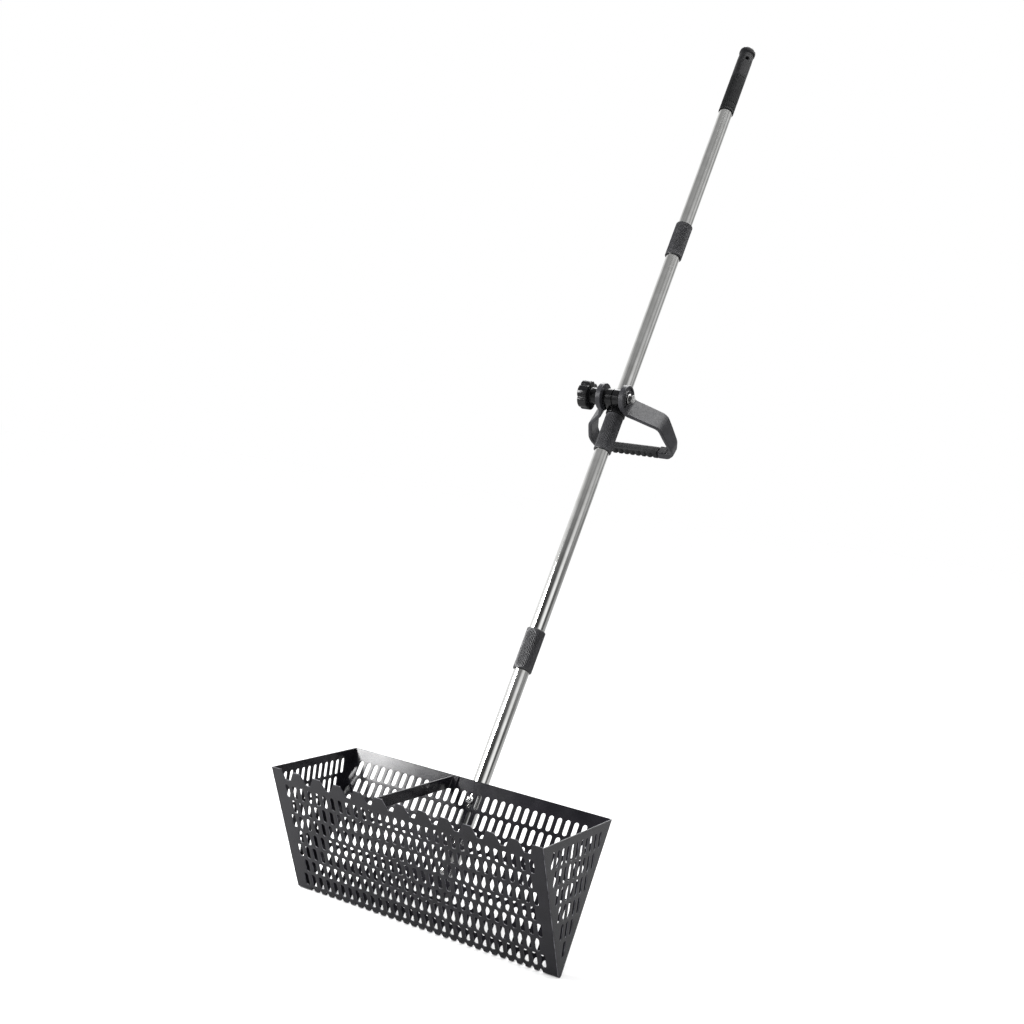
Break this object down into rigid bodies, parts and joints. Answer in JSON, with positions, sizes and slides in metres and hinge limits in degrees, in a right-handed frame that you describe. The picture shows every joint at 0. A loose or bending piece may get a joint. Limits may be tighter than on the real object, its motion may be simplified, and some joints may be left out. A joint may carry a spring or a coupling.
{
  "type": "beach sand scoop",
  "caption": "Perforated V-shaped beach sand scoop with a toothed lip, on a leaning sectional pole with screw collars, a rear hand grip and a tilting D-handle held by a star knob.",
  "frame": {"origin": "middle of the flat strip at the bottom of the basket's fold", "axes": "+Z square to the basket's opening, +X along the basket, -Y towards the toothed front lip; the pole leans back towards +Y"},
  "size_m": [0.4, 0.7882, 1.342],
  "materials": {
    "black_coat": "semi-gloss black powder coat",
    "stainless_tube": "polished stainless tube",
    "bright_steel": "bright stainless fastener",
    "aluminium": "turned aluminium",
    "black_plastic": "ribbed black plastic",
    "gloss_black_plastic": "glossy black moulded plastic",
    "dark_grey_plastic": "dark grey moulded plastic with a soft sheen",
    "black_rubber": "matt black rubber"
  },
  "bodies": {
    "basket": {"basket_sheet": "black_coat", "left_end_panel": "black_coat", "right_end_panel": "black_coat", "cross_brace": "black_coat", "upper_tube_bolt": "bright_steel", "upper_tube_washer": "bright_steel", "upper_tube_nut": "bright_steel", "lower_tube_bolt": "bright_steel", "lower_tube_washer": "bright_steel", "lower_tube_nut": "bright_steel", "bottom_tube": "stainless_tube", "bottom_tube_plug": "black_plastic"},
    "second_section": {"second_tube": "stainless_tube", "lower_spigot": "aluminium", "lower_spigot_pin": "bright_steel"},
    "lower_collar": {"lower_collar": "black_plastic"},
    "third_section": {"third_tube": "stainless_tube", "middle_spigot": "aluminium", "middle_spigot_pin": "bright_steel"},
    "middle_collar": {"middle_collar": "black_plastic"},
    "top_section": {"top_tube": "stainless_tube", "upper_spigot": "aluminium", "upper_spigot_pin": "bright_steel", "hand_grip": "black_rubber", "grip_end_cap": "black_plastic"},
    "upper_collar": {"upper_collar": "black_plastic"},
    "handle_bush": {"handle_bush": "black_plastic"},
    "handle_bracket": {"handle_bracket": "gloss_black_plastic"},
    "handle_loop": {"handle_loop": "dark_grey_plastic", "loop_grip": "black_rubber", "pivot_bolt": "bright_steel", "pivot_washer": "bright_steel", "knob_washer": "bright_steel"},
    "knob": {"knob": "gloss_black_plastic", "knob_nut": "bright_steel"}
  },
  "joints": [
    {"name": "second_section_pull", "type": "slide", "parent": "basket", "child": "second_section", "axis": [0, 0.4484, 0.8938], "range_m": [0, 0.045]},
    {"name": "lower_collar_turn", "type": "hinge", "parent": "second_section", "child": "lower_collar", "pos_m": [0, 0.10182, 0.17246], "axis": [0, 0.4484, 0.8938], "continuous": true},
    {"name": "third_section_pull", "type": "slide", "parent": "second_section", "child": "third_section", "axis": [0, 0.4484, 0.8938], "range_m": [0, 0.045]},
    {"name": "middle_collar_turn", "type": "hinge", "parent": "third_section", "child": "middle_collar", "pos_m": [0, 0.10182, 0.17246], "axis": [0, 0.4484, 0.8938], "continuous": true},
    {"name": "top_section_pull", "type": "slide", "parent": "third_section", "child": "top_section", "axis": [0, 0.4484, 0.8938], "range_m": [0, 0.045]},
    {"name": "upper_collar_turn", "type": "hinge", "parent": "top_section", "child": "upper_collar", "pos_m": [0, 0.10182, 0.17246], "axis": [0, 0.4484, 0.8938], "continuous": true},
    {"name": "handle_slide", "type": "slide", "parent": "third_section", "child": "handle_bush", "axis": [0, 0.4484, 0.8938], "range_m": [0, 0.25]},
    {"name": "handle_swivel", "type": "hinge", "parent": "handle_bush", "child": "handle_bracket", "pos_m": [0, 0.10182, 0.17246], "axis": [0, 0.4484, 0.8938], "continuous": true},
    {"name": "loop_tilt", "type": "hinge", "parent": "handle_bracket", "child": "handle_loop", "pos_m": [0, 0.35253, 0.71684], "axis": [1, 0, 0], "range_deg": [-40, 75]},
    {"name": "knob_turn", "type": "hinge", "parent": "handle_loop", "child": "knob", "pos_m": [0, 0.35253, 0.71684], "axis": [1, 0, 0], "continuous": true}
  ]
}
